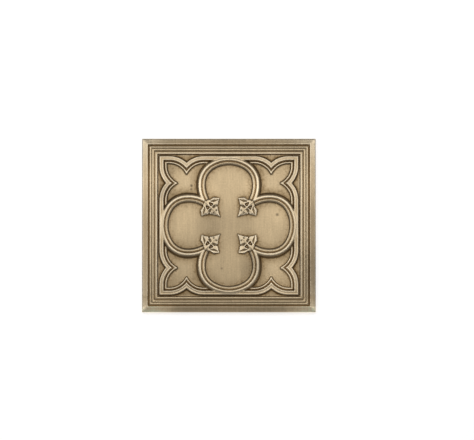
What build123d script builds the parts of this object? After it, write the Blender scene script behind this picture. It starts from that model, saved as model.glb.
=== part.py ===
# Cast brass wall tile: a stepped square frame round a sunk panel of Gothic tracery.
# The panel holds a four-lobed figure, foiled corners with cusps, and a leaf on each inner cusp.
# The tile lies on its flat back, face up. The origin is the middle of the back; +Z points out of the face.

import os
from math import asin, cos, degrees, radians, sin, sqrt

from build123d import *

# Plate, in millimetres. Every height is measured from the flat back.
tile_side = 152.4
ground_height = 4.0

# Frame section, from the edge inwards
rim_width = 4.9
rim_edge_height = 7.2
rim_edge_round = 0.6
rim_height = 8.0
quirk_width = 1.0
quirk_height = 6.3
reed_1_width = 2.5
reed_1_height = 7.2
valley_1_height = 6.6
reed_2_width = 2.5
reed_2_height = 7.0
valley_2_height = 6.1
reed_3_width = 2.85
reed_3_height = 6.9
reed_3_foot_height = 6.0
frame_wall_draft = 0.25
channel_width = 1.3

# Rail: the straight and cusped moulding beside the frame, with a hollow top
rail_width = 3.9
rail_top_width = 2.6
rail_height = 6.9
rail_hollow = 0.1
rail_shoulder_drop = 0.7
rail_draft = 0.3
rail_groove_offset = 2.6
rail_groove_height = 4.6
rail_fillet_offset = 3.8
rail_fillet_width = 0.9
rail_fillet_height = 5.2
rail_foot_offset = 5.3

# Foiled corner: two arcs a side, which meet in a cusp
foil_radius = 20.8
cusp_depth = 6.4
corner_run = 7.0

# Lobe of the four-lobed figure: its crest line is three tangent arcs from the middle of a side.
# The last arc crosses the next lobe's on the diagonal, and its inner order runs on into the leaf.
lobe_inset = 1.0
lobe_top_radius = 30.6
lobe_top_angle = 30.5
lobe_shoulder_radius = 19.9
lobe_shoulder_angle = 51.5
lobe_crossing = 31.5
lobe_tail = 3.0

# Lobe moulding: a roll with a round crest, and a low fillet inside it
roll_width = 3.2
roll_height = 7.1
roll_shoulder_drop = 0.8
roll_crest_width = 1.9
roll_crest_rise = 0.1
roll_foot_spread = 1.5
lobe_groove_offset = 1.85
lobe_groove_height = 5.3
lobe_fillet_offset = 3.1
lobe_fillet_width = 1.6
lobe_fillet_height = 5.9
lobe_foot_offset = 4.85

# Leaf on each inner cusp, from a root on the diagonal.
# Runs go from the root towards the centre, and spreads go across the diagonal.
leaf_setback = 3.5
leaf_root_height = 6.4
leaf_tip_height = 5.8
leaf_draft = 12.0
leaf_back_run = -1.5
leaf_neck_run = 0.3
leaf_neck_spread = 4.2
leaf_neck_round = 1.0
side_shoulder_run = 0.5
side_shoulder_spread = 8.2
side_tip_run = 5.5
side_tip_spread = 11.6
side_corner_run = 8.6
side_corner_spread = 6.3
side_edge_hollow = 0.35
notch_run = 7.8
notch_spread = 4.3
notch_round = 0.35
head_shoulder_run = 9.2
head_shoulder_spread = 5.3
head_tip_run = 18.3
head_edge_hollow = 0.6

# Carving in the leaf: a raised rib, and on each side of it an eye, a hollow behind the head and a fold
rib_width = 1.5
rib_rise = 0.3
rib_end_run = 11.5
eye_root_run = 1.3
eye_root_spread = 2.0
eye_outer_run = 4.9
eye_outer_spread = 3.4
eye_inner_run = 4.8
eye_inner_spread = 0.85
hollow_run = 7.1
hollow_spread = 2.5
hollow_length = 3.0
hollow_width = 1.6
hollow_tilt = 15.0
hollow_floor_height = 4.8
fold_root_run = 1.9
fold_root_spread = 4.0
fold_tip_run = 5.1
fold_tip_spread = 9.4
fold_bow = 0.1
fold_belly = 1.05
fold_depth = 0.6
fold_draft = 20.0

# Depth that raised work is carried down into the plate, so that it is one metal with it
bond_depth = 1.0

frame_width = rim_width + quirk_width + reed_1_width + reed_2_width + reed_3_width
frame_inner = tile_side / 2 - frame_width
rail_line = frame_inner - channel_width - rail_width / 2
lobe_top = rail_line - lobe_inset
bond_height = ground_height - bond_depth
cusp_run = sqrt(foil_radius**2 - (foil_radius - cusp_depth) ** 2)
outer_foil = rail_line - corner_run
cusp_axis = outer_foil - cusp_run
inner_foil = cusp_axis - cusp_run
foil_level = rail_line - foil_radius
clear_height = 2 * rim_height


def face_of(*edges):
    """The face inside a closed chain of edges."""
    return make_face(Wire(list(edges)))


def chain(*points):
    """Straight edges through the points, in order."""
    return [Line(a, b) for a, b in zip(points, points[1:])]


def turned(plan_point, angle):
    """Upright plane through plan_point whose X points outwards at angle, measured from +Y towards +X."""
    outwards = Vector(sin(radians(angle)), cos(radians(angle)), 0)
    return Plane(origin=(*plan_point, 0), x_dir=outwards, z_dir=outwards.cross(Vector(0, 0, 1)))


def along_arc(section, centre, radius, start, sweep):
    """The section, drawn about its line, carried round an arc of that line."""
    placed = turned(centre, start) * Pos(radius, 0) * section
    return revolve(placed, Axis((*centre, 0), (0, 0, -1)), sweep)


def along_side(section, start, length):
    """The section carried straight along +X from start, on a line that faces +Y."""
    return extrude(turned(start, 0) * section, length, dir=(1, 0, 0))


def corner_prism(*plan_points):
    """A tall prism on the plan points, used to trim work at a mitre."""
    return extrude(make_face(Polyline(*plan_points, close=True)), clear_height)


# Frame
def frame_section():
    """Section of the frame, with X as the inset from the tile's edge."""
    quirk = rim_width + quirk_width
    valley_1 = quirk + reed_1_width
    valley_2 = valley_1 + reed_2_width
    foot = frame_width - frame_wall_draft
    round_corner = rim_edge_height - rim_edge_round
    arc_middle = rim_edge_round * (1 - sqrt(0.5))
    return face_of(
        Line((0, bond_height), (0, round_corner)),
        ThreePointArc(
            (0, round_corner),
            (arc_middle, rim_edge_height - arc_middle),
            (rim_edge_round, rim_edge_height),
        ),
        *chain((rim_edge_round, rim_edge_height), (rim_width, rim_height), (quirk, quirk_height)),
        ThreePointArc(
            (quirk, quirk_height),
            (quirk + reed_1_width / 2, reed_1_height),
            (valley_1, valley_1_height),
        ),
        ThreePointArc(
            (valley_1, valley_1_height),
            (valley_1 + reed_2_width / 2, reed_2_height),
            (valley_2, valley_2_height),
        ),
        ThreePointArc(
            (valley_2, valley_2_height),
            (valley_2 + reed_3_width / 2, reed_3_height),
            (foot, reed_3_foot_height),
        ),
        *chain(
            (foot, reed_3_foot_height),
            (frame_width, ground_height),
            (frame_width, bond_height),
            (0, bond_height),
        ),
    )


def frame_side():
    """One side of the frame, mitred at both ends."""
    half = tile_side / 2
    upright = Plane(origin=(half, half, 0), x_dir=(0, -1, 0), z_dir=(-1, 0, 0))
    length = extrude(upright * frame_section(), tile_side)
    return length & corner_prism((0, 0), (half, half), (-half, half))


# Tracery
def rail_section():
    """Section of the rail: a hollow top and a low fillet on its inner side. X points to the frame."""
    half = rail_width / 2
    top = rail_top_width / 2
    foot = half + rail_draft
    shoulder = rail_height - rail_shoulder_drop
    return face_of(
        *chain((foot, bond_height), (foot, ground_height), (half, shoulder), (top, rail_height)),
        ThreePointArc((top, rail_height), (0, rail_height - rail_hollow), (-top, rail_height)),
        *chain(
            (-top, rail_height),
            (-half, shoulder),
            (-rail_groove_offset, rail_groove_height),
            (rail_fillet_width / 2 - rail_fillet_offset, rail_fillet_height),
            (-rail_fillet_width / 2 - rail_fillet_offset, rail_fillet_height),
            (-rail_foot_offset, ground_height),
            (-rail_foot_offset, bond_height),
            (foot, bond_height),
        ),
    )


def lobe_section():
    """Section of a lobe: a roll with a round crest and a low fillet inside. X points out of the lobe."""
    half = roll_width / 2
    shoulder = roll_height - roll_shoulder_drop
    foot = half + roll_foot_spread
    crest = roll_crest_width / 2
    crest_edge = roll_height - roll_crest_rise
    return face_of(
        *chain((foot, bond_height), (foot, ground_height), (half, shoulder), (crest, crest_edge)),
        ThreePointArc((crest, crest_edge), (0, roll_height), (-crest, crest_edge)),
        *chain(
            (-crest, crest_edge),
            (-half, shoulder),
            (-lobe_groove_offset, lobe_groove_height),
            (lobe_fillet_width / 2 - lobe_fillet_offset, lobe_fillet_height),
            (-lobe_fillet_width / 2 - lobe_fillet_offset, lobe_fillet_height),
            (-lobe_foot_offset, ground_height),
            (-lobe_foot_offset, bond_height),
            (foot, bond_height),
        ),
    )


def shifted(point, distance, angle):
    """The plan point moved by a distance at an angle from +Y towards +X."""
    return (point[0] + distance * sin(radians(angle)), point[1] + distance * cos(radians(angle)))


# Centres of the lobe's arcs. The side arc leaves the shoulder on its tangent and goes through the crossing.
shoulder_end = lobe_top_angle + lobe_shoulder_angle
top_centre = (0, lobe_top - lobe_top_radius)
shoulder_centre = shifted(top_centre, lobe_top_radius - lobe_shoulder_radius, lobe_top_angle)
shoulder_stop = shifted(shoulder_centre, lobe_shoulder_radius, shoulder_end)
crossing_point = shifted((0, 0), lobe_crossing, 45)
side_chord = Vector(*crossing_point) - Vector(*shoulder_stop)
side_radius = side_chord.length**2 / (2 * side_chord.dot(Vector(*shifted((0, 0), -1, shoulder_end))))
side_centre = shifted(shoulder_stop, -side_radius, shoulder_end)
side_sweep = degrees(2 * asin(side_chord.length / (2 * side_radius)) + lobe_tail / side_radius)


def half_lobe():
    """Right half of the lobe that faces +Y, mitred on the diagonal against the next lobe."""
    section = lobe_section()
    moulding = along_arc(section, top_centre, lobe_top_radius, 0, lobe_top_angle)
    moulding += along_arc(
        section, shoulder_centre, lobe_shoulder_radius, lobe_top_angle, lobe_shoulder_angle
    )
    moulding += along_arc(section, side_centre, side_radius, shoulder_end, side_sweep)
    return moulding & corner_prism((0, 0), (tile_side, tile_side), (0, tile_side))


def lobe_hollow():
    """Everything inside the crest line of the right half lobe, where the rail stops."""
    top_end = shifted(top_centre, lobe_top_radius, lobe_top_angle)
    top_middle = shifted(top_centre, lobe_top_radius, lobe_top_angle / 2)
    shoulder_turn = lobe_top_angle + lobe_shoulder_angle / 2
    shoulder_middle = shifted(shoulder_centre, lobe_shoulder_radius, shoulder_turn)
    plan = face_of(
        ThreePointArc((0, lobe_top), top_middle, top_end),
        ThreePointArc(top_end, shoulder_middle, shoulder_stop),
        *chain(shoulder_stop, (0, shoulder_stop[1]), (0, lobe_top)),
    )
    return extrude(plan, clear_height)


def half_rail():
    """Right half of the rail on the +Y side: straight, two arcs to a cusp, and on to the corner mitre."""
    section = rail_section()
    quarter_turn = 90
    before = along_side(section, (0, rail_line), inner_foil)
    before += along_arc(section, (inner_foil, foil_level), foil_radius, 0, quarter_turn)
    before &= corner_prism((0, 0), (cusp_axis, 0), (cusp_axis, tile_side), (0, tile_side))
    after = along_arc(section, (outer_foil, foil_level), foil_radius, -quarter_turn, quarter_turn)
    after += along_side(section, (outer_foil, rail_line), tile_side / 2 - outer_foil)
    after &= corner_prism((cusp_axis, cusp_axis), (tile_side, tile_side), (cusp_axis, tile_side))
    return before + after - lobe_hollow()


# Leaf, drawn along +X and then turned onto the diagonal
leaf_root = lobe_crossing - leaf_setback


def leaf_point(run, spread):
    """Plan point at a run from the root towards the tile's centre and a spread across the diagonal."""
    return (leaf_root - run, spread)


def leaf_blank():
    """The leaf's outline as a drafted slab whose top falls from the root to the tip."""
    back = leaf_point(leaf_back_run, 0)
    neck = leaf_point(leaf_neck_run, leaf_neck_spread)
    shoulder = leaf_point(side_shoulder_run, side_shoulder_spread)
    side_tip = leaf_point(side_tip_run, side_tip_spread)
    corner = leaf_point(side_corner_run, side_corner_spread)
    notch = leaf_point(notch_run, notch_spread)
    head_shoulder = leaf_point(head_shoulder_run, head_shoulder_spread)
    head_tip = leaf_point(head_tip_run, 0)
    half = face_of(
        *FilletPolyline(back, neck, shoulder, radius=leaf_neck_round).edges(),
        Line(shoulder, side_tip),
        SagittaArc(side_tip, corner, side_edge_hollow),
        *FilletPolyline(corner, notch, head_shoulder, radius=notch_round).edges(),
        SagittaArc(head_shoulder, head_tip, head_edge_hollow),
        Line(head_tip, back),
    )
    outline = Pos(0, 0, ground_height) * (half + mirror(half, Plane.XZ))
    slab = extrude(outline, rim_height - ground_height, taper=leaf_draft)
    slab += extrude(outline, -bond_depth)
    fall = face_of(
        *chain(
            (head_tip[0], bond_height),
            (back[0], bond_height),
            (back[0], leaf_root_height),
            (leaf_root, leaf_root_height),
            (head_tip[0], leaf_tip_height),
            (head_tip[0], bond_height),
        )
    )
    return slab & extrude(Plane.XZ * fall, 2 * side_tip_spread, both=True)


def leaf_rib():
    """A raised rib along the stem, which follows the fall of the leaf."""
    slope = Vector(-head_tip_run, 0, leaf_tip_height - leaf_root_height)
    half = rib_width / 2
    section = face_of(
        *chain(
            (-half, bond_height),
            (-half, leaf_root_height),
            (0, leaf_root_height + rib_rise),
            (half, leaf_root_height),
            (half, bond_height),
            (-half, bond_height),
        )
    )
    upright = Plane(origin=(leaf_root, 0, 0), x_dir=(0, -1, 0), z_dir=(-1, 0, 0))
    return extrude(upright * section, rib_end_run, dir=slope)


def leaf_cuts():
    """The eye, hollow and fold on one side of the stem."""
    eye = face_of(
        *chain(
            leaf_point(eye_root_run, eye_root_spread),
            leaf_point(eye_outer_run, eye_outer_spread),
            leaf_point(eye_inner_run, eye_inner_spread),
            leaf_point(eye_root_run, eye_root_spread),
        )
    )
    slot = SlotOverall(hollow_length, hollow_width, 90 + hollow_tilt)
    hollow = Pos(*leaf_point(hollow_run, hollow_spread)) * slot
    root = leaf_point(fold_root_run, fold_root_spread)
    tip = leaf_point(fold_tip_run, fold_tip_spread)
    fold = face_of(SagittaArc(root, tip, fold_belly), SagittaArc(tip, root, -fold_bow))
    fold_top = leaf_root_height - (leaf_root_height - leaf_tip_height) * fold_root_run / head_tip_run
    cuts = Pos(0, 0, ground_height) * extrude(eye, clear_height)
    cuts += Pos(0, 0, hollow_floor_height) * extrude(hollow, clear_height)
    cuts += Pos(0, 0, fold_top) * extrude(fold, -fold_depth, taper=fold_draft)
    return cuts


def cusp_leaf():
    """The leaf on one inner cusp, with its carving, turned onto the diagonal."""
    cuts = leaf_cuts()
    leaf = leaf_blank() - cuts - mirror(cuts, Plane.XZ) + leaf_rib()
    return Rot(0, 0, 45) * leaf


def tile():
    """The whole casting: plate, frame, tracery and leaves as one metal."""
    half_side = half_rail() + half_lobe()
    quarter = frame_side() + half_side + mirror(half_side, Plane.YZ) + cusp_leaf()
    plate = Box(tile_side, tile_side, ground_height, align=(Align.CENTER, Align.CENTER, Align.MIN))
    for turn in range(4):
        plate += Rot(0, 0, 90 * turn) * quarter
    return plate


os.makedirs("parts", exist_ok=True)
export_step(tile(), "parts/brass_tile.step")
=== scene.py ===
import math

import bmesh
import bpy
import numpy as np
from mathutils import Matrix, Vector, geometry, kdtree


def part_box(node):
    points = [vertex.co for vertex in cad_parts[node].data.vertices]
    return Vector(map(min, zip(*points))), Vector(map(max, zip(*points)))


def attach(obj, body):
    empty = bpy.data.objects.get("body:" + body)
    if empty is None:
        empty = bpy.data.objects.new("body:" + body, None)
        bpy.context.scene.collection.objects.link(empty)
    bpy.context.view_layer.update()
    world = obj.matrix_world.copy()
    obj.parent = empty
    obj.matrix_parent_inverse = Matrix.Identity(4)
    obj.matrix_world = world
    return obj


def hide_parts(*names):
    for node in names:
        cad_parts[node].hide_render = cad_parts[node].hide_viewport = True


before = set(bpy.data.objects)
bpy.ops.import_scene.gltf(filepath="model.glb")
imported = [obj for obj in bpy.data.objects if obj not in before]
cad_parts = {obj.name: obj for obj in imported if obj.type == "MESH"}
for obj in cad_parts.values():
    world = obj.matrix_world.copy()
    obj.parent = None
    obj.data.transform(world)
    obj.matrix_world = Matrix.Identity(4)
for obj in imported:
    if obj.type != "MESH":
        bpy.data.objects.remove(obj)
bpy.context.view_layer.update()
tileLow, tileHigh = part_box("brass_tile")
mm = 0.001
# the relief is worked out in millimetres, about the tile's centre
halfSide = (tileHigh.x - tileLow.x) / 2 / mm
rimHeight = (tileHigh.z - tileLow.z) / mm
groundHeight = rimHeight / 2
nearGround = groundHeight + 0.1  # what lies lower than this counts as ground
hair = 1e-6  # slack for comparing heights and places
showing = 0.03  # a moulding shows where it is this close to the top
rootTwo = math.sqrt(2)
diagonal = 45  # degrees from +Y towards +X
print("tile frame loaded, half side", round(halfSide, 2), "rim height", round(rimHeight, 2))


def softSection(corners, steps=2, most=0.48):
    # walks corners of (offset, height, rounding) and eases each inner one with a small curve,
    # which takes at most that share of the edge on either side
    line = [np.array(corners[0][:2])]
    for before, here, after in zip(corners, corners[1:], corners[2:]):
        point = np.array(here[:2])
        back, ahead = np.array(before[:2]) - point, np.array(after[:2]) - point
        backLength, aheadLength = np.linalg.norm(back), np.linalg.norm(ahead)
        reach = min(here[2], most * backLength, most * aheadLength)
        start, end = point + back / backLength * reach, point + ahead / aheadLength * reach
        for k in range(steps + 1):
            t = k / steps
            line.append((1 - t) ** 2 * start + 2 * t * (1 - t) * point + t * t * end)
    line.append(np.array(corners[-1][:2]))
    line = np.array(line)
    return line[:, 0], line[:, 1]


# border: inset from the tile's edge, height above the back, easing; tones go from -1, tarnished and painted
# shade, to 1, rubbed and painted highlight
border = {
    "corners": [
        (0.0, 6.6, 0), (0.18, 7.05, 0.15), (0.6, 7.36, 0.2),  # outer edge
        (1.6, 7.5, 0.3), (2.75, 7.66, 0.3), (3.9, 7.83, 0.3),  # rim
        (4.9, rimHeight, 0.22),  # its inner arris
        (5.75, 6.35, 0.2), (6.05, 6.4, 0.15),  # quirk
        (6.5, 6.98, 0.35), (7.4, 7.22, 0.5), (8.1, 7.08, 0.35), (8.45, 6.7, 0.12),  # first reed
        (8.85, 6.94, 0.35), (9.5, 7.06, 0.5), (10.45, 6.88, 0.4), (10.9, 6.25, 0.15),  # second reed
        (11.25, 6.7, 0.3), (11.9, 6.92, 0.4), (12.9, 6.94, 0.4), (13.4, 6.82, 0.25),  # third reed
        (13.75, 6.1, 0.15),
        (13.95, groundHeight + 0.12, 0.1), (14.15, groundHeight, 0),
    ],
    "tones": [
        (0.5, 0), (1.6, -0.16), (3.6, -0.15), (4.5, -0.1), (5.0, 0), (5.9, 0.06), (7.0, 0),
        (10.2, 0.05), (10.9, 0.15), (11.6, 0.0), (12.4, -0.08), (13.1, -0.05), (13.4, 0.1),
        (13.8, 0.34), (14.6, 0.3), (15.6, 0),
    ],
    "rimWidth": 5.0,
    # added to the rim, by the distance from the middle of the side: painted shade in the middles, painted
    # highlight towards the corners
    "rimTones": [(0, -0.12), (30, -0.04), (48, 0.04), (60, 0.25), (68, 0.55), (77, 0.55)],
    "bevel": 0.4,  # at the back's edge
    "steps": 44,  # along half a side
}

# rail: offset from its line, towards the border
rail = {
    "line": 59.2, "foilRadius": 20.8, "cuspDepth": 6.4, "cornerRun": 7.0,
    # the cusp's tip: offset by distance from the cusp's point, how far to each side it holds, and the
    # least share that gets points of its own
    "tip": {
        "offsets": [(5.0, -3.46), (7.4, -4.35), (8.1, -5.6), (9.5, -9.0)], "width": (0.0, 0.9), "least": 0.01,
    },
    "corners": [
        (-5.6, groundHeight, 0), (-5.25, groundHeight + 0.12, 0.2),
        (-4.45, 5.14, 0.25), (-3.8, 5.28, 0.3), (-3.2, 5.12, 0.25), (-2.6, 4.6, 0.25),  # fillet and groove
        (-2.2, 6.1, 0.2), (-1.95, 6.6, 0.25), (-1.35, 6.9, 0.25), (0.0, 6.74, 0.6),  # hollow top
        (1.25, 6.9, 0.25), (1.85, 6.6, 0.25), (2.15, 6.0, 0.2),
        (2.35, groundHeight + 0.12, 0.1), (2.55, groundHeight, 0),
    ],
    "tones": [
        (-9.0, 0), (-7.0, 0.05), (-5.2, -0.04), (-4.5, 0.1), (-3.7, 0.32), (-3.0, 0.06), (-1.9, 0),
        (-1.2, 0.22), (-0.7, -0.14), (0.3, -0.22), (0.8, 0.0), (1.2, 0.12), (1.9, 0), (2.5, -0.06),
        (3.4, -0.06), (5.0, 0),
    ],
    # fillet against the roll: its reach grows with the height of the lower of the two above the ground,
    # and it eases in by the offset from the roll's crest
    "join": {"least": 0.01, "reach": 1.1, "heights": (0.4, 2.4), "offsets": (0.1, 0.9), "top": 6.9},
    "straightSteps": 18, "foilSteps": 18, "cornerSteps": 8,
}

# lobe of the quatrefoil: offset from its crest, out of the lobe
lobe = {
    "inset": 1.0, "topRadius": 30.6, "topAngle": 30.5, "shoulderRadius": 19.9, "shoulderAngle": 51.5,
    "crossing": 31.5, "tail": 3.0,
    "corners": [
        (-5.4, groundHeight, 0), (-5.1, groundHeight + 0.12, 0.2),
        (-4.4, 5.52, 0.3), (-3.35, 5.88, 0.5), (-2.4, 5.88, 0.3), (-1.78, 5.35, 0.2),  # fillet and groove
        (-1.45, 6.4, 0.3), (-1.05, 7.0, 0.4), (0.0, 7.13, 0.6), (1.15, 6.99, 0.45),  # roll
        (2.0, 6.25, 0.4),
        (3.1, groundHeight + 0.15, 0.3), (3.5, groundHeight, 0),
    ],
    "tones": [
        (-9.0, 0), (-7.0, 0.03), (-5.9, -0.04), (-5.4, 0.1), (-4.9, 0.2), (-4.4, 0.05), (-3.5, -0.03),
        (-2.6, 0.06), (-1.8, 0.22), (-1.0, 0.08), (0.0, 0.24), (0.8, 0.14), (1.5, 0.14), (2.4, 0.32),
        (3.0, 0.14), (3.8, -0.1), (7.5, 0),
    ],
    # tones where roll and rail lie together, which fade in as the two lines near each other
    "joinTones": [
        (-5.8, 0.0), (-5.0, 0.26), (-4.4, 0.1), (-3.5, -0.14), (-2.6, 0.0), (-1.8, 0.26), (-1.0, 0.04),
        (0.0, 0.05), (0.6, 0.1), (1.3, 0.45), (2.0, 0.35), (2.7, 0.08), (3.8, 0.1), (4.6, 0.1),
    ],
    "joinApart": (1.4, 3.6), "joinStart": (-6.0, -5.0),
    "step": 0.9, "leastSteps": 4,
}

# leaf on each inner cusp: runs from its root towards the centre, spreads across the diagonal
leaf = {
    "setback": 3.5, "flank": 0.6,
    "fall": [(-3.2, 6.15), (-1.5, 6.25), (0.5, 6.3), (3.0, 6.28), (18.3, 5.75)],  # height along the run
    "back": -2.1, "backSlope": 0.3, "backEase": 0.8,  # where the mouldings run out into the root
    "outline": [
        (-3.2, 0.0), (-2.6, 3.3), (0.3, 4.2), (0.5, 8.2), (5.1, 11.35), (5.7, 11.3), (8.6, 6.3), (8.0, 4.4),
        (9.2, 5.3), (17.9, 0.3), (18.2, 0.0),
    ],
    "hollowed": {5: 0.35, 8: 0.6},  # edges that start at those corners are drawn inwards
    "pillow": {"from": 0.2, "to": 2.2, "rise": 0.18},  # crown of the lobes, by depth in from the outline
    "ridges": [  # raised lines: rise, then stations of run, spread and half width
        (0.12, [(-3.0, 0.0, 3.4), (-0.6, 0.0, 3.2), (1.2, 0.0, 2.2)]),  # knot, from the rolls' mitre
        (0.16, [(-1.2, 0.0, 1.9), (2.0, 0.0, 1.5), (11.0, 0.0, 0.6)]),  # midrib
        (0.2, [(0.3, 3.2, 1.1), (1.7, 7.4, 1.2), (4.8, 10.9, 0.4)]),  # rib of the side lobe
    ],
    "gouges": [  # sunk strokes: depth, then stations
        (0.8, [(6.85, 1.9, 1.35), (7.15, 3.1, 1.4)]),  # hollow beside the rib
        (0.7, [(1.9, 4.0, 0.6), (3.3, 5.6, 1.2), (5.2, 9.3, 0.45)]),  # fold of the side lobe
        (0.4, [(10.75, 1.45, 0.9), (11.1, 1.85, 0.9)]),  # dimple on the head
    ],
    # where a stroke starts to fall off and where it ends, in half widths, and about what is left on its line
    "strokeEase": (-0.3, 1), "strokePeak": 0.862,
    "gougeShade": -0.35,  # painted shade, for each millimetre that a gouge sinks
    "eye": {"corners": [(2.1, 2.0), (4.45, 2.95), (4.4, 1.25)], "round": 0.4, "ease": 0.45, "floor": 0.6},
    # by distance out from the outline
    "tones": [(-1.2, 0.14), (-0.5, 0.22), (0.0, 0.2), (0.4, -0.04), (1.6, 0)],
    "groundRings": (-1.2, -0.5), "flankRings": (0.0, 0.2, 0.5, 1.0),  # the last in shares of the flank
    "spacing": 0.2, "rowShare": 0.87, "reach": 12, "least": 0.01,  # points on the leaf
}

borderInset, borderHeight = softSection(border["corners"])
railSet, railHeight = softSection(rail["corners"])
lobeSet, lobeHeight = softSection(lobe["corners"])
borderWidth = borderInset[-1]

# rail and foils
foilLevel = rail["line"] - rail["foilRadius"]
cuspRun = math.sqrt(rail["foilRadius"] ** 2 - (rail["foilRadius"] - rail["cuspDepth"]) ** 2)
outerFoil = rail["line"] - rail["cornerRun"]
cuspAxis = outerFoil - cuspRun
innerFoil = cuspAxis - cuspRun


def towards(angle):  # unit step at an angle from +Y towards +X, in degrees
    return np.array([math.sin(math.radians(angle)), math.cos(math.radians(angle))])


# the lobe's three arcs; the last one leaves on a tangent and crosses the next lobe on the diagonal
lobeTop = rail["line"] - lobe["inset"]
shoulderEnd = lobe["topAngle"] + lobe["shoulderAngle"]
topCentre = np.array([0.0, lobeTop - lobe["topRadius"]])
shoulderCentre = topCentre + (lobe["topRadius"] - lobe["shoulderRadius"]) * towards(lobe["topAngle"])
shoulderStop = shoulderCentre + lobe["shoulderRadius"] * towards(shoulderEnd)
sideChord = lobe["crossing"] * towards(diagonal) - shoulderStop
sideRadius = sideChord @ sideChord / (-2 * sideChord @ towards(shoulderEnd))
sideCentre = shoulderStop - sideRadius * towards(shoulderEnd)
sideTurn = 2 * math.asin(np.linalg.norm(sideChord) / 2 / sideRadius)
sideSweep = math.degrees(sideTurn + lobe["tail"] / sideRadius)
lobeArcs = [
    (topCentre, lobe["topRadius"], 0.0, lobe["topAngle"]),
    (shoulderCentre, lobe["shoulderRadius"], lobe["topAngle"], shoulderEnd),
    (sideCentre, sideRadius, shoulderEnd, shoulderEnd + sideSweep),
]
arcLead = 60  # degrees before its start for which an arc still answers
farInside = -99.0  # offset of the points for which none does


def arcPolar(x, y, centre):  # distance and angle from +Y towards +X about a centre
    return np.hypot(x - centre[0], y - centre[1]), np.degrees(np.arctan2(x - centre[0], y - centre[1]))


def lobeOffset(x, y):
    offset = np.full(x.shape, farInside)
    for centre, radius, start, stop in reversed(lobeArcs):
        distance, angle = arcPolar(x, y, centre)
        inside = (angle <= stop) & (angle > start - arcLead)
        offset = np.where(inside, distance - radius, offset)
    return offset


def ease(value, low, high):
    t = np.clip((value - low) / (high - low), 0, 1)
    return t * t * (3 - 2 * t)


def fromCusp(x, y):  # distance ahead of the cusp's point, and the tip's share there
    aside, below = np.abs(x - cuspAxis), rail["line"] - rail["cuspDepth"] - y
    return below, 1 - ease(aside, *rail["tip"]["width"])


def railOffset(x, y):
    offset = y - rail["line"]
    for foil, low, high in ((innerFoil, innerFoil, cuspAxis), (outerFoil, cuspAxis, outerFoil)):
        distance = np.hypot(x - foil, y - foilLevel) - rail["foilRadius"]
        offset = np.where((x > low) & (x <= high), distance, offset)
    ahead, share = fromCusp(x, y)
    reaches, offsets = np.array(rail["tip"]["offsets"]).T
    return offset + share * np.where(ahead > reaches[0], np.interp(ahead, reaches, offsets) - offset, 0)


def bowedLoop(corners, bows, spacing=0.3):
    # points along an outline whose named edges are hollowed into arcs
    points = []
    for k, (start, end) in enumerate(zip(corners, corners[1:])):
        start, end = np.array(start), np.array(end)
        span = np.linalg.norm(end - start)
        inwards = np.array([(end - start)[1], (start - end)[0]]) / span
        for t in np.arange(0, 1, spacing / span):
            points.append(start + (end - start) * t + inwards * bows.get(k, 0) * 4 * t * (1 - t))
    points.append(np.array(corners[-1]))
    return np.array(points)


def loopDistance(run, spread, points):
    best = np.full(run.shape, np.inf)
    for start, end in zip(points, np.roll(points, -1, axis=0)):
        way = end - start
        t = np.clip(((run - start[0]) * way[0] + (spread - start[1]) * way[1]) / (way @ way), 0, 1)
        best = np.minimum(best, np.hypot(run - start[0] - t * way[0], spread - start[1] - t * way[1]))
    return best


def insideLoop(run, spread, points):
    crossed = np.zeros(run.shape, bool)
    for (a, b), (c, d) in zip(points, np.roll(points, -1, axis=0)):
        if b == d:
            continue
        crossed ^= ((b > spread) != (d > spread)) & (run < (c - a) * (spread - b) / (d - b) + a)
    return crossed


leafRoot = lobe["crossing"] - leaf["setback"]
leafEdge = bowedLoop(leaf["outline"], leaf["hollowed"])
leafLoop = np.vstack([leafEdge, (leafEdge * (1, -1))[-2:0:-1]])  # both halves, closed


def stroke(run, spread, stations):  # about 1 on a line where it is widest, easing to 0 at its edges
    best = np.zeros(run.shape)
    widest = max(width for _, _, width in stations)
    for (a, b, startWidth), (c, d, endWidth) in zip(stations, stations[1:]):
        t = np.clip(((run - a) * (c - a) + (spread - b) * (d - b)) / ((c - a) ** 2 + (d - b) ** 2), 0, 1)
        width = startWidth + (endWidth - startWidth) * t
        away = np.hypot(run - a - t * (c - a), spread - b - t * (d - b))
        fall = 1 - ease(away / width, *leaf["strokeEase"])
        best = np.maximum(best, np.sqrt(width / widest) * fall / leaf["strokePeak"])
    return best


def signedDistance(run, spread, loop):  # negative inside
    return loopDistance(run, spread, loop) * np.where(insideLoop(run, spread, loop), -1, 1)


def gougeDepth(run, spread):
    sunk = np.zeros(run.shape)
    for depth, stations in leaf["gouges"]:
        sunk = np.maximum(sunk, depth * stroke(run, np.abs(spread), stations))
    return sunk


def leafHeight(run, spread):
    spread = np.abs(spread)
    depthIn = np.maximum(-signedDistance(run, spread, leafLoop), 0)
    pillow, eye = leaf["pillow"], leaf["eye"]
    crown = pillow["rise"] * ease(depthIn, pillow["from"], pillow["to"])
    top = np.interp(run, *np.array(leaf["fall"]).T) + crown
    for rise, stations in leaf["ridges"]:
        top = top + rise * stroke(run, spread, stations)
    fromEye = signedDistance(run, spread, np.array(eye["corners"])) - eye["round"]
    eyeDepth = (top - groundHeight - eye["floor"]) * (1 - ease(fromEye, -eye["ease"], eye["ease"]))
    sunk = np.maximum(gougeDepth(run, spread), eyeDepth)
    edge = np.clip(depthIn / leaf["flank"], 0, 1)
    return groundHeight + (top - sunk - groundHeight) * (1 - (1 - edge) ** 3)


def foldToOctant(x, y):
    x, y = np.abs(x), np.abs(y)
    return np.minimum(x, y), np.maximum(x, y)


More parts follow.
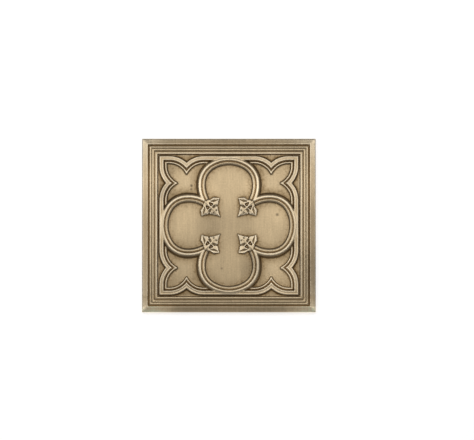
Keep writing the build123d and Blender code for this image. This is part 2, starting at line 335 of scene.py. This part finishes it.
def reliefParts(x, y):
    # heights of border, rail, lobe and leaf at points of the octant
    outside = lobeOffset(x, y)
    lobePart = np.interp(outside, lobeSet, lobeHeight, left=groundHeight, right=groundHeight)
    railPart = np.interp(railOffset(x, y), railSet, railHeight, left=groundHeight, right=groundHeight)
    inLobe = (outside < 0) & (outside > farInside)
    railPart = np.where(inLobe, groundHeight, railPart)  # the rail stops at the lobe
    borderPart = np.interp(halfSide - y, borderInset, borderHeight, left=0, right=groundHeight)
    run, spread = leafRoot - (x + y) / rootTwo, (y - x) / rootTwo
    pastBack = run - leaf["back"] - leaf["backSlope"] * np.abs(spread)
    intoLeaf = ease(pastBack, -leaf["backEase"], leaf["backEase"])
    lobePart = groundHeight + (lobePart - groundHeight) * (1 - intoLeaf)
    leafPart = groundHeight + (leafHeight(run, spread) - groundHeight) * intoLeaf
    return borderPart, railPart, lobePart, leafPart


def topOf(parts):
    borderPart, railPart, lobePart, leafPart = parts
    return np.maximum.reduce([borderPart, railPart, lobePart + leafPart - groundHeight])


def softJoin(x, y, parts):  # fillet where rail and roll run into each other
    join = rail["join"]
    start, full = join["heights"]
    lower, apart = np.minimum(parts[1], parts[2]), np.abs(parts[1] - parts[2])
    reach = join["least"] + join["reach"] * ease(lower, groundHeight + start, groundHeight + full)
    rise = np.maximum(reach - apart, 0) ** 2 / (4 * reach) * ease(lobeOffset(x, y), *join["offsets"])
    return np.minimum(rise, np.maximum(join["top"] - topOf(parts), 0))


def reliefHeight(x, y):
    x, y = foldToOctant(x, y)
    parts = reliefParts(x, y)
    return topOf(parts) + softJoin(x, y, parts)


def visibleRuns(points, part):
    # keeps the stretches of a contour where its own moulding is the one that shows
    x, y = points[:, 0], points[:, 1]
    parts = reliefParts(x, y)
    shown = (parts[part] >= topOf(parts) - showing) & (x >= -hair) & (y >= x - hair)
    runs, current = [], []
    for point, keep in zip(points, shown):
        if keep:
            current.append(point)
        elif current:
            runs.append(current)
            current = []
    if current:
        runs.append(current)
    return [run for run in runs if len(run) > 1]


def lobeContour(offset):
    line = []
    for centre, radius, start, stop in lobeArcs:
        reach = (centre[1] - centre[0]) / rootTwo / (radius + offset)
        if centre is sideCentre and reach <= 1:
            stop = min(stop, diagonal + math.degrees(math.asin(reach)))  # ends on the diagonal
        count = max(lobe["leastSteps"], round(math.radians(stop - start) * radius / lobe["step"]))
        for k in range(0 if not line else 1, count + 1):
            line.append(centre + (radius + offset) * towards(start + (stop - start) * k / count))
    return np.array(line)


def railContour(offset):
    y = rail["line"] + offset
    straight, count, corner = rail["straightSteps"], rail["foilSteps"], rail["cornerSteps"]
    line = [np.array([innerFoil * k / straight, y]) for k in range(straight)]
    radius = rail["foilRadius"] + offset
    turn = math.degrees(math.asin(min(1, cuspRun / radius)))
    inner, outer = np.array([innerFoil, foilLevel]), np.array([outerFoil, foilLevel])
    line += [inner + radius * towards(turn * k / count) for k in range(count)]
    line += [outer + radius * towards(-turn * k / count) for k in range(count, -1, -1)]
    line += [np.array([outerFoil + (y - outerFoil) * k / corner, y]) for k in range(1, corner + 1)]
    return np.array(line)


def borderContour(inset):
    y = halfSide - inset
    return np.array([(y * k / border["steps"], y) for k in range(border["steps"] + 1)])


def snap(point, near=0.02):
    # keeps seam points exactly on the middle line and the diagonal, so that the mirrored copies weld
    x, y = float(point[0]), float(point[1])
    if abs(x) < near:
        x = 0.0
    if abs(x - y) < near:
        x = y = (x + y) / 2
    return x, y


# relief on a square grid, and the same with the detail blurred away
field = {"cell": 0.3, "margin": 12, "outside": 5.0, "sigmas": 3}  # outside: the level beyond the tile's edge
cell = field["cell"]
span = np.arange(-field["margin"], halfSide + field["margin"], cell)
reliefField = reliefHeight(*np.meshgrid(np.minimum(span, halfSide), np.minimum(span, halfSide)))
reliefField[:, span > halfSide] = reliefField[span > halfSide, :] = field["outside"]

# wear, patina and painted shade by the relief: blur radius, then how far below or above the blurred relief it
# starts and is full
wearAndShade = {
    "groove": (0.6, 0.0, 0.5),
    "shadeNear": (1.4, 0.0, 1.0), "shadeWide": (4.5, 0.0, 1.1), "shadeShares": (0.45, 0.55),
    "beside": (4.5, 0.05, 0.7),
    "arris": (0.7, 0.0, 0.35), "tops": (3.0, 0.2, 1.2), "topsShare": 0.6,
    "flank": (0.2, 0.9), "flankLoss": 0.85, "slopeStep": 0.15,  # flanks, by their slope, are less rubbed
}


def blurred(radius):
    reach = int(field["sigmas"] * radius / cell)
    weights = np.exp(-0.5 * (np.arange(-reach, reach + 1) * cell / radius) ** 2)
    weights /= weights.sum()
    softened = np.pad(reliefField, reach, mode="edge")
    for axis in (0, 1):
        softened = np.apply_along_axis(np.convolve, axis, softened, weights, "valid")
    return softened


def sampled(values, x, y):
    column, row = (x - span[0]) / cell, (y - span[0]) / cell
    i, j = np.floor(column).astype(int), np.floor(row).astype(int)
    a, b = column - i, row - j
    return ((1 - a) * (1 - b) * values[j, i] + a * (1 - b) * values[j, i + 1]
            + (1 - a) * b * values[j + 1, i] + a * b * values[j + 1, i + 1])


blurs = {}
for use in ("groove", "arris", "shadeNear", "tops", "shadeWide", "beside"):
    blurRadius = wearAndShade[use][0]
    if blurRadius not in blurs:
        blurs[blurRadius] = blurred(blurRadius)
print("relief field:", reliefField.shape)


def contourLines():
    lines = []
    for part, contour, stations in (
        (0, borderContour, borderInset), (1, railContour, railSet), (2, lobeContour, lobeSet),
    ):
        for station in stations:
            lines += visibleRuns(contour(station), part)
    along = np.gradient(leafEdge, axis=0)
    inward = np.stack([along[:, 1], -along[:, 0]], axis=1) / np.linalg.norm(along, axis=1)[:, None]
    # ground beside the leaf, then its foot, flank and top
    for reach in (*leaf["groundRings"], *(share * leaf["flank"] for share in leaf["flankRings"])):
        run, spread = (leafEdge + inward * reach).T
        ring = np.stack([leafRoot - run - spread, leafRoot - run + spread], axis=1) / rootTwo
        lines += visibleRuns(ring, 3)
    return lines


# points between the contours
filling = {
    "jitter": 0.2, "offMiddle": 0.4, "offDiagonal": 0.55,  # shares of the spacing
    "clear": 0.12,  # least distance from a contour
    "middleStep": 1.3, "diagonalStep": 0.2,  # along the seams
    "junction": 0.4, "cusp": 0.35, "foot": 0.9, "ground": 2.0,  # spacings
    "junctionReach": 0.4, "footRise": 0.06, "seed": 7,
}


def fillPoints(rng, spacing, wanted):
    # jittered grid points of the octant that a test picks
    size, jitter = np.arange(0, halfSide - borderWidth + spacing, spacing), filling["jitter"]
    x, y = [(g + rng.uniform(-jitter, jitter, g.shape) * spacing).ravel() for g in np.meshgrid(size, size)]
    inside = (x > spacing * filling["offMiddle"]) & (y - x > spacing * filling["offDiagonal"])
    x, y = x[inside], y[inside]
    parts = reliefParts(x, y)
    picked = wanted(x, y, parts, topOf(parts))
    return list(zip(x[picked], y[picked]))


def leafPoints(spacing):
    # staggered rows across the half leaf
    rows = []
    root, tip = leaf["outline"][0][0], leaf["outline"][-1][0]
    for k, run in enumerate(np.arange(root, tip, spacing * leaf["rowShare"])):
        spread = np.arange(spacing / 2 if k % 2 else spacing, leaf["reach"], spacing)
        rows.append(np.stack([np.full(spread.shape, run), spread], axis=1))
    run, spread = np.vstack(rows).T
    x, y = (leafRoot - run - spread) / rootTwo, (leafRoot - run + spread) / rootTwo
    x, y = x[x > spacing / 2], y[x > spacing / 2]
    parts = reliefParts(x, y)
    picked = (parts[3] > groundHeight + leaf["least"]) & (topOf(parts) > parts[1])
    return list(zip(x[picked], y[picked]))


def onJunction(x, y, parts, top):  # where rail and lobe run into each other
    apart, lower = np.abs(parts[1] - parts[2]), np.minimum(parts[1], parts[2])
    return (apart < filling["junctionReach"]) & (lower > nearGround)


def onCusp(x, y, parts, top):
    tip, (ahead, share) = rail["tip"], fromCusp(x, y)
    return (ahead > tip["offsets"][0][0]) & (ahead < tip["offsets"][-1][0]) & (share > tip["least"])


def besideMoulding(x, y):
    return sampled(blurs[wearAndShade["shadeNear"][0]], x, y) > groundHeight + filling["footRise"]


def onFoot(x, y, parts, top):
    return (top <= groundHeight + hair) & besideMoulding(x, y)


def onGround(x, y, parts, top):
    return (top <= groundHeight + hair) & ~besideMoulding(x, y)


def octantPlan():
    points, edges = [], []
    for line in contourLines():
        first = len(points)
        points += [snap(p) for p in line]
        edges += [(k, k + 1) for k in range(first, len(points) - 1)]
    tree = kdtree.KDTree(len(points))
    for k, (x, y) in enumerate(points):
        tree.insert((x, y, 0), k)
    tree.balance()
    rng = np.random.default_rng(filling["seed"])
    fill = [(0.0, v) for v in np.arange(0, rail["line"], filling["middleStep"])]
    fill += [(v, v) for v in np.arange(0, rail["line"], filling["diagonalStep"])]
    fill += leafPoints(leaf["spacing"])
    for place, wanted in (("junction", onJunction), ("cusp", onCusp), ("foot", onFoot), ("ground", onGround)):
        fill += fillPoints(rng, filling[place], wanted)
    points += [(float(x), float(y)) for x, y in fill if tree.find((x, y, 0))[2] > filling["clear"]]
    points += [(0.0, halfSide), (halfSide, halfSide)]
    return points, edges


points, edges = octantPlan()
print("octant plan:", len(points), "points,", len(edges), "contour edges")
planWeld, leastArea, edgeSlack = 0.03, 1e-7, 1e-4
flat, _, faces, _, _, _ = geometry.delaunay_2d_cdt([Vector(p) for p in points], edges, [], 0, planWeld)
plan = np.array([snap(v) for v in flat])
print("octant triangles:", len(faces))

height = reliefHeight(plan[:, 0], plan[:, 1])
octantVerts = [(x * mm, y * mm, z * mm) for (x, y), z in zip(plan, height)]
octantFaces = []
for f in faces:
    (ax, ay), (bx, by), (cx, cy) = plan[f[0]], plan[f[1]], plan[f[2]]
    area = (bx - ax) * (cy - ay) - (by - ay) * (cx - ax)
    if abs(area) > leastArea:
        octantFaces.append(tuple(f) if area > 0 else tuple(reversed(f)))

# edge wall and back
rimRow = [k for k in range(len(plan)) if abs(plan[k][1] - halfSide) < edgeSlack]
rimRow.sort(key=lambda k: plan[k][0])
bevel = border["bevel"]
wallRow, backRow = [], []
for k in rimRow:
    x = plan[k][0]
    wallRow.append(len(octantVerts))
    octantVerts.append((x * mm, halfSide * mm, bevel * mm))
for k in rimRow:
    x = plan[k][0] * (halfSide - bevel) / halfSide
    backRow.append(len(octantVerts))
    octantVerts.append((x * mm, (halfSide - bevel) * mm, 0.0))
backCentre = len(octantVerts)
octantVerts.append((0.0, 0.0, 0.0))
for upper, lower in ((rimRow, wallRow), (wallRow, backRow)):
    for k in range(len(rimRow) - 1):
        octantFaces.append((upper[k], upper[k + 1], lower[k + 1], lower[k]))
for k in range(len(backRow) - 1):
    octantFaces.append((backRow[k], backRow[k + 1], backCentre))

octantMesh = bpy.data.meshes.new("tileOctant")
octantMesh.from_pydata(octantVerts, [], octantFaces)
octantMesh.validate()
octant = bpy.data.objects.new("tileOctant", octantMesh)
bpy.context.scene.collection.objects.link(octant)

coords = np.array(octantVerts) / mm
onFace = coords[:, 2] > bevel + hair  # all but the wall's foot and the back


def sunkBelow(radius, low, high):  # how far a point lies below the metal round it, from 0 to 1
    depth = sampled(blurs[radius], coords[:, 0], coords[:, 1]) - coords[:, 2]
    return np.where(onFace, ease(depth, low, high), 0.0)


def standsAbove(radius, low, high):
    rise = coords[:, 2] - sampled(blurs[radius], coords[:, 0], coords[:, 1])
    return np.where(onFace, ease(rise, low, high), 0.0)


def joinTone(x, y, parts, tone):  # along the stretch where roll and rail lie together, one tone takes over
    offset = lobeOffset(x, y)
    together = 1 - ease(offset - railOffset(x, y), *lobe["joinApart"])
    together = together * ease(offset, *lobe["joinStart"])
    together = np.where((parts[0] <= nearGround) & onFace, together, 0.0)
    stations, tones = np.array(lobe["joinTones"]).T
    return together * (np.interp(offset, stations, tones) - tone)


def handTone():  # the sections' own tones, where each one shows: tarnish and rub, with painted light and shade
    x, y = foldToOctant(coords[:, 0], coords[:, 1])
    parts = reliefParts(x, y)
    top = topOf(parts)
    run, spread = leafRoot - (x + y) / rootTwo, np.abs(y - x) / rootTwo
    outOfLeaf = signedDistance(run, spread, leafLoop)
    tone = np.zeros(len(coords))
    for part, piece, offset in (
        (0, border, halfSide - y),
        (1, rail, railOffset(x, y)),
        (2, lobe, lobeOffset(x, y)),
        (3, leaf, outOfLeaf),
    ):
        stations, tones = np.array(piece["tones"]).T
        tone += np.where(parts[part] >= top - showing, np.interp(offset, stations, tones), 0)
    tone += np.where(outOfLeaf < 0, leaf["gougeShade"] * gougeDepth(run, spread), 0)
    # the rim is painted darker in the middle of each side and lighter towards its corners: painted shade and
    # painted highlight
    tone += np.where(halfSide - y < border["rimWidth"], np.interp(x, *np.array(border["rimTones"]).T), 0)
    return np.where(onFace, tone, 0.0) + joinTone(x, y, parts, tone)


def steepness():  # 0 on tops and flats, 1 on flanks
    x, y, step = coords[:, 0], coords[:, 1], wearAndShade["slopeStep"]
    acrossX = reliefHeight(x + step, y) - reliefHeight(x - step, y)
    acrossY = reliefHeight(x, y + step) - reliefHeight(x, y - step)
    return ease(np.hypot(acrossX, acrossY) / (2 * step), *wearAndShade["flank"])


def shading():
    near, wide = wearAndShade["shadeShares"]
    return near * sunkBelow(*wearAndShade["shadeNear"]) + wide * sunkBelow(*wearAndShade["shadeWide"])


def crests():  # arrises and tops
    raised = np.maximum(standsAbove(*wearAndShade["arris"]), wearAndShade["topsShare"] * standsAbove(*wearAndShade["tops"]))
    return raised * (1 - wearAndShade["flankLoss"] * steepness())


marks = {
    "groove": sunkBelow(*wearAndShade["groove"]),  # quirks, valleys and feet
    # painted shade beside the mouldings, laid in the patina's colour
    "shade": shading(),
    "near": np.where(coords[:, 2] < nearGround, sunkBelow(*wearAndShade["beside"]), 0.0),  # ground beside mouldings
    "crest": crests(),
    "tone": handTone(),
    "relief": np.where(onFace, 1.0, 0.0),
}
for name, values in marks.items():
    layer = octantMesh.attributes.new(name, "FLOAT", "POINT")
    layer.data.foreach_set("value", np.ascontiguousarray(values, dtype=np.float32))

# rounds: mirrors the octant and turns it about the centre
rounds = {
    "Turns": 4, "Weld": 0.02 * mm,
    "Wave": 0.05 * mm, "Wave Scale": 90.0, "Wave Detail": 3.0, "Seed": 3.0,  # unevenness of the cast face
}


def roundsTree():
    tree = bpy.data.node_groups.new("tileRounds", "GeometryNodeTree")
    tree.interface.new_socket("Geometry", in_out="INPUT", socket_type="NodeSocketGeometry")
    for name, kind in (("Turns", "Int"), ("Weld", "Float"), ("Wave", "Float"), ("Wave Scale", "Float"),
                       ("Wave Detail", "Float"), ("Seed", "Float"), ("Metal", "Material")):
        tree.interface.new_socket(name, in_out="INPUT", socket_type="NodeSocket" + kind)
    tree.interface.new_socket("Geometry", in_out="OUTPUT", socket_type="NodeSocketGeometry")
    new, link = tree.nodes.new, tree.links.new
    given, result = new("NodeGroupInput"), new("NodeGroupOutput")
    mirror, flip = new("GeometryNodeTransform"), new("GeometryNodeFlipFaces")
    pair = new("GeometryNodeJoinGeometry")
    mirror.inputs["Scale"].default_value = (-1, 1, 1)
    link(given.outputs["Geometry"], mirror.inputs["Geometry"])
    link(mirror.outputs[0], flip.inputs[0])
    link(flip.outputs[0], pair.inputs[0])
    link(given.outputs["Geometry"], pair.inputs[0])
    spots, place = new("GeometryNodePoints"), new("GeometryNodeInstanceOnPoints")
    link(given.outputs["Turns"], spots.inputs["Count"])
    link(spots.outputs[0], place.inputs["Points"])
    link(pair.outputs[0], place.inputs["Instance"])
    index, spin = new("GeometryNodeInputIndex"), new("ShaderNodeCombineXYZ")
    share, turn = new("ShaderNodeMath"), new("ShaderNodeMath")
    share.operation, turn.operation = "DIVIDE", "MULTIPLY"
    link(index.outputs[0], share.inputs[0])
    link(given.outputs["Turns"], share.inputs[1])
    link(share.outputs[0], turn.inputs[0])
    turn.inputs[1].default_value = math.tau
    link(turn.outputs[0], spin.inputs["Z"])
    link(spin.outputs[0], place.inputs["Rotation"])
    whole, weld = new("GeometryNodeRealizeInstances"), new("GeometryNodeMergeByDistance")
    link(place.outputs[0], whole.inputs[0])
    link(whole.outputs[0], weld.inputs["Geometry"])
    link(given.outputs["Weld"], weld.inputs["Distance"])
    wave, face = new("ShaderNodeTexNoise"), new("GeometryNodeInputNamedAttribute")
    centred, scaled, faceOnly = new("ShaderNodeMath"), new("ShaderNodeMath"), new("ShaderNodeMath")
    wave.noise_dimensions = "4D"
    link(given.outputs["Wave Scale"], wave.inputs["Scale"])
    link(given.outputs["Wave Detail"], wave.inputs["Detail"])
    link(given.outputs["Seed"], wave.inputs["W"])
    centred.operation, scaled.operation, faceOnly.operation = "SUBTRACT", "MULTIPLY", "MULTIPLY"
    link(wave.outputs[0], centred.inputs[0])
    centred.inputs[1].default_value = 1.0  # only ever sinks, so the rim stays inside its box
    link(centred.outputs[0], scaled.inputs[0])
    link(given.outputs["Wave"], scaled.inputs[1])
    face.data_type = "FLOAT"
    face.inputs["Name"].default_value = "relief"
    link(scaled.outputs[0], faceOnly.inputs[0])
    link(face.outputs[0], faceOnly.inputs[1])
    lift, shift = new("GeometryNodeSetPosition"), new("ShaderNodeCombineXYZ")
    link(faceOnly.outputs[0], shift.inputs["Z"])
    link(weld.outputs[0], lift.inputs["Geometry"])
    link(shift.outputs[0], lift.inputs["Offset"])
    coat = new("GeometryNodeSetMaterial")
    link(lift.outputs[0], coat.inputs["Geometry"])
    link(given.outputs["Metal"], coat.inputs["Material"])
    link(coat.outputs[0], result.inputs[0])
    return tree


finish = {
    "satin": (0.445, 0.338, 0.202, 1),  # open metal
    "bright": (0.715, 0.6, 0.428, 1),  # rubbed crests and painted highlights
    "patina": (0.13, 0.062, 0.006, 1),  # patina in grooves and feet, and painted shade beside the mouldings
    "satinRoughness": 0.34, "patinaRoughness": 0.55,
    "grooveTarnish": 0.29, "shadeTarnish": 0.45, "crestRub": 0.9,  # what the marks count for
    # noises: scale, detail, the part of the noise that counts and what it stands for
    "brushing": (1.0, 2.0, 0.3, 0.7, 0.93, 1.07), "brushStretch": (800, 60, 400),
    "mottle": (45, 4.0, 0.35, 0.65, 0.93, 1.07),
    "grain": (750, 3.0, 0.3, 0.7, 0.92, 1.08),
    "pits": (620, 2.0, 0.5, 0.66, 0.0, 0.22),
    "skin": (0.3, 0.1 * mm),  # strength and depth of the cast skin's bump
    "hub": (8 * mm, 24 * mm, 0.86),  # darker middle: from, to, share
    "shadedSide": (-59.5 * mm, -62.5 * mm, -72 * mm, 0.3),  # painted shade on the reeds of the -Y side: from, to, end, share
    "litRim": (-70.9 * mm, -71.6 * mm, 1.28),  # painted highlight on the rim of the -Y side: from, to, share
    # patches of uneven polish and of painted light and shade: x, y and radius in millimetres, share of the
    # light kept
    "polishAndLightPatches": [
        (42.5, 9.6, 1.9, 0.4), (-33.0, 35.1, 1.7, 0.4), (-33.1, 31.9, 1.5, 0.5),  # dark spots
        (-6.3, -37.7, 1.4, 0.6),
        (-18, 0, 16, 0.76), (16, 0, 12, 0.9), (19, -37, 13, 0.8), (-38, -18, 14, 0.87),  # darker panel
        (-56, 30, 12, 0.76), (-52, 50, 9, 0.8),
        (46, -46, 24, 1.24), (-22, 28, 15, 1.2), (23, 31, 15, 1.18), (46, 12, 16, 1.14),  # brighter panel
        (-24, -31, 14, 1.12),
        (-79, 40, 26, 1.15), (80, 36, 24, 1.15), (92, -40, 36, 0.6), (-98, 62, 32, 0.5),  # painted reflection on the frame
        (-66, -84, 24, 1.45), (66, -84, 24, 1.35),
    ],
    "patchCore": 0.3,  # share of the radius over which a patch is even
}


def antiqueBrass():
    metal = bpy.data.materials.new("antiqueBrass")
    metal.use_nodes = True
    nodes, link = metal.node_tree.nodes, metal.node_tree.links.new
    shader = nodes["Principled BSDF"]
    place = nodes.new("ShaderNodeTexCoord").outputs["Object"]

    def mark(name):
        node = nodes.new("ShaderNodeAttribute")
        node.attribute_name = name
        return node.outputs["Fac"]

    def noise(scale, detail, stretch=(1, 1, 1)):
        lay, node = nodes.new("ShaderNodeMapping"), nodes.new("ShaderNodeTexNoise")
        lay.inputs["Scale"].default_value = stretch
        node.inputs["Scale"].default_value = scale
        node.inputs["Detail"].default_value = detail
        link(place, lay.inputs["Vector"])
        link(lay.outputs[0], node.inputs["Vector"])
        return node.outputs[0]

    def spread(source, low, high, toLow, toHigh):
        node = nodes.new("ShaderNodeMapRange")
        for socket, value in zip(node.inputs[1:5], (low, high, toLow, toHigh)):
            socket.default_value = value
        link(source, node.inputs[0])
        return node.outputs[0]

    def away(point):
        node = nodes.new("ShaderNodeVectorMath")
        node.operation = "DISTANCE"
        node.inputs[1].default_value = point
        link(place, node.inputs[0])
        return node.outputs["Value"]

    def sums(operation, first, second):
        node = nodes.new("ShaderNodeMath")
        node.operation = operation
        for socket, source in zip(node.inputs, (first, second)):
            if isinstance(source, float):
                socket.default_value = source
            else:
                link(source, socket)
        return node.outputs[0]

    def paint(under, over, amount, mode="MIX"):
        node = nodes.new("ShaderNodeMix")
        node.data_type, node.blend_type = "RGBA", mode
        for socket, source in zip((node.inputs[0], node.inputs[6], node.inputs[7]), (amount, under, over)):
            if isinstance(source, (float, tuple)):
                socket.default_value = source
            else:
                link(source, socket)
        return node.outputs[2]

    tone = mark("tone")
    inGrooves = sums("MULTIPLY", mark("groove"), finish["grooveTarnish"])
    inShade = sums("MULTIPLY", mark("shade"), finish["shadeTarnish"])
    # patina in the grooves, with painted shade beside the mouldings and where the tones are dark
    tarnishAndShade = sums("MAXIMUM", sums("SUBTRACT", sums("ADD", inGrooves, inShade), tone), 0.0)
    scale, detail, *reach = finish["mottle"]
    uneven = spread(noise(scale, detail), *reach)
    scale, detail, *reach = finish["pits"]
    pits = spread(noise(scale, detail), *reach)
    tarnishAndShade = sums("ADD", sums("MULTIPLY", tarnishAndShade, uneven), sums("MULTIPLY", pits, mark("near")))
    onCrests = sums("MULTIPLY", mark("crest"), finish["crestRub"])
    lightTones = spread(tone, 0.0, 1.0, 0.0, 1.0)  # the light tones only: rub and painted highlight
    rubAndHighlight = sums("MINIMUM", sums("ADD", onCrests, lightTones), 1.0)
    apart = nodes.new("ShaderNodeSeparateXYZ")
    link(place, apart.inputs[0])
    alongY = apart.outputs["Y"]
    # painted shade on the reeds of the -Y side, taken off the rub there
    inner, outer, stop, share = finish["shadedSide"]
    sideShade = sums("MAXIMUM", spread(alongY, inner, outer, 1.0, share), spread(alongY, outer, stop, share, 1.0))
    colour = paint(finish["satin"], finish["bright"], sums("MULTIPLY", rubAndHighlight, sideShade))
    colour = paint(colour, finish["patina"], tarnishAndShade)
    scale, detail, *reach = finish["brushing"]
    brushed = spread(noise(scale, detail, finish["brushStretch"]), *reach)
    scale, detail, *reach = finish["grain"]
    skin = noise(scale, detail)
    polishAndLight = sums("MULTIPLY", sums("MULTIPLY", brushed, spread(skin, *reach)), uneven)
    inner, outer, share = finish["hub"]
    polishAndLight = sums("MULTIPLY", polishAndLight, spread(away((0, 0, groundHeight * mm)), inner, outer, share, 1.0))
    # painted highlight on the rim of the -Y side
    inner, outer, share = finish["litRim"]
    polishAndLight = sums("MULTIPLY", polishAndLight, spread(alongY, inner, outer, 1.0, share))
    # patches of uneven polish, with painted light and shade on the panel and the frame
    for x, y, radius, kept in finish["polishAndLightPatches"]:
        fromPatch, core = away((x * mm, y * mm, groundHeight * mm)), finish["patchCore"] * radius * mm
        polishAndLight = sums("MULTIPLY", polishAndLight, spread(fromPatch, core, radius * mm, kept, 1.0))
    colour = paint(colour, polishAndLight, 1.0, "MULTIPLY")
    link(colour, shader.inputs["Base Color"])
    roughness = spread(tarnishAndShade, 0.0, 1.0, finish["satinRoughness"], finish["patinaRoughness"])
    link(sums("MULTIPLY", roughness, uneven), shader.inputs["Roughness"])
    bump = nodes.new("ShaderNodeBump")
    bump.inputs["Strength"].default_value, bump.inputs["Distance"].default_value = finish["skin"]
    link(skin, bump.inputs["Height"])
    link(bump.outputs[0], shader.inputs["Normal"])
    shader.inputs["Metallic"].default_value = 1.0
    return metal


brass = antiqueBrass()
tree = roundsTree()
modifier = octant.modifiers.new("rounds", "NODES")
modifier.node_group = tree
sockets = {item.name: item.identifier for item in tree.interface.items_tree if item.in_out == "INPUT"}
for name, value in rounds.items():
    modifier[sockets[name]] = value
modifier[sockets["Metal"]] = brass
depsgraph = bpy.context.evaluated_depsgraph_get()
shaped = octant.evaluated_get(depsgraph)
tileMesh = bpy.data.meshes.new_from_object(shaped, preserve_all_data_layers=True, depsgraph=depsgraph)
octant.modifiers.remove(modifier)
bpy.data.objects.remove(octant)
tileMesh.name = "brassTile"
whole = bmesh.new()
whole.from_mesh(tileMesh)
bmesh.ops.recalc_face_normals(whole, faces=whole.faces)
openEdges = sum(not edge.is_manifold for edge in whole.edges)
volume = round(whole.calc_volume(signed=True) / mm ** 3)
print("tile welded, open edges:", openEdges, "volume in cubic millimetres:", volume)
whole.to_mesh(tileMesh)
whole.free()
sharpAngle = 70  # degrees, past which an edge stays sharp
tileMesh.polygons.foreach_set("use_smooth", [True] * len(tileMesh.polygons))
tileMesh.set_sharp_from_angle(angle=math.radians(sharpAngle))
brassTile = bpy.data.objects.new("brassTile", tileMesh)
bpy.context.scene.collection.objects.link(brassTile)
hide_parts("brass_tile")
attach(brassTile, "root")
print("tile mesh:", len(tileMesh.vertices), "points,", len(tileMesh.polygons), "faces")

# studio
studio = {
    "floorSize": 8.0, "floorDrop": 0.0002, "floorColour": (0.9, 0.9, 0.9, 1), "floorGlow": 0.66,
    "world": 0.25,
    "keyX": (-0.45, 0.27), "keyY": (-0.03, 0.19), "keyHeight": 0.45, "keyRadiance": 1.6,
}


def floorMaterial():
    paper = bpy.data.materials.new("paleFloor")
    paper.use_nodes = True
    nodes, link = paper.node_tree.nodes, paper.node_tree.links.new
    nodes.remove(nodes["Principled BSDF"])
    output = nodes["Material Output"]
    glow, matte = nodes.new("ShaderNodeEmission"), nodes.new("ShaderNodeBsdfDiffuse")
    both, seen = nodes.new("ShaderNodeAddShader"), nodes.new("ShaderNodeMixShader")
    path = nodes.new("ShaderNodeLightPath")
    direct, anySight = nodes.new("ShaderNodeMath"), nodes.new("ShaderNodeMath")
    matte.inputs["Color"].default_value = studio["floorColour"]
    glow.inputs["Strength"].default_value = studio["floorGlow"]
    direct.operation = anySight.operation = "MAXIMUM"
    link(path.outputs["Is Camera Ray"], direct.inputs[0])
    link(path.outputs["Is Glossy Ray"], direct.inputs[1])
    link(direct.outputs[0], anySight.inputs[0])
    link(path.outputs["Is Transmission Ray"], anySight.inputs[1])
    link(glow.outputs[0], both.inputs[0])
    link(matte.outputs[0], both.inputs[1])
    link(anySight.outputs[0], seen.inputs[0])
    link(matte.outputs[0], seen.inputs[1])
    link(both.outputs[0], seen.inputs[2])
    link(seen.outputs[0], output.inputs["Surface"])
    return paper


half = studio["floorSize"] / 2
floorMesh = bpy.data.meshes.new("floor")
floorCorners = [(-half, -half, 0), (half, -half, 0), (half, half, 0), (-half, half, 0)]
floorMesh.from_pydata(floorCorners, [], [(0, 1, 2, 3)])
floorMesh.materials.append(floorMaterial())
floor = bpy.data.objects.new("floor", floorMesh)
floor.location.z = -studio["floorDrop"]
bpy.context.scene.collection.objects.link(floor)

world = bpy.data.worlds.new("softRoom")
world.use_nodes = True
world.node_tree.nodes["Background"].inputs["Color"].default_value = (1, 1, 1, 1)
world.node_tree.nodes["Background"].inputs["Strength"].default_value = studio["world"]
bpy.context.scene.world = world

keyLamp = bpy.data.lights.new("keyPanel", "AREA")
keyLamp.shape = "RECTANGLE"
keyLamp.size, keyLamp.size_y = np.ptp(studio["keyX"]), np.ptp(studio["keyY"])
keyLamp.energy = studio["keyRadiance"] * math.pi * keyLamp.size * keyLamp.size_y
key = bpy.data.objects.new("keyPanel", keyLamp)
key.location = (sum(studio["keyX"]) / 2, sum(studio["keyY"]) / 2, studio["keyHeight"])
bpy.context.scene.collection.objects.link(key)
print("studio set")

# camera, from the tile's edges in the photograph
view = {
    "imageWidth": 474, "imageHeight": 440, "tileCentre": (228.9, 225.3), "tileWidth": 173.75,
    "offVertical": 2.5, "distance": 4.19, "sensor": 36, "clipEnd": 50,
}
pixelsPerMetre = view["tileWidth"] / (2 * halfSide * mm)
tilt = math.radians(view["offVertical"])
aim = Vector((
    (view["imageWidth"] / 2 - view["tileCentre"][0]) / pixelsPerMetre,
    -(view["imageHeight"] / 2 - view["tileCentre"][1]) / pixelsPerMetre / math.cos(tilt),
    rimHeight * mm,
))
lens = bpy.data.cameras.new("camera")
lens.sensor_fit = "HORIZONTAL"
lens.sensor_width = view["sensor"]
lens.lens = pixelsPerMetre * view["distance"] * lens.sensor_width / view["imageWidth"]
lens.clip_end = view["clipEnd"]
camera = bpy.data.objects.new("camera", lens)
camera.location = aim + view["distance"] * Vector((0, -math.sin(tilt), math.cos(tilt)))
camera.rotation_euler = (tilt, 0, 0)
bpy.context.scene.collection.objects.link(camera)
bpy.context.scene.camera = camera
bpy.context.scene.view_settings.view_transform = "Standard"

print("scene ready")
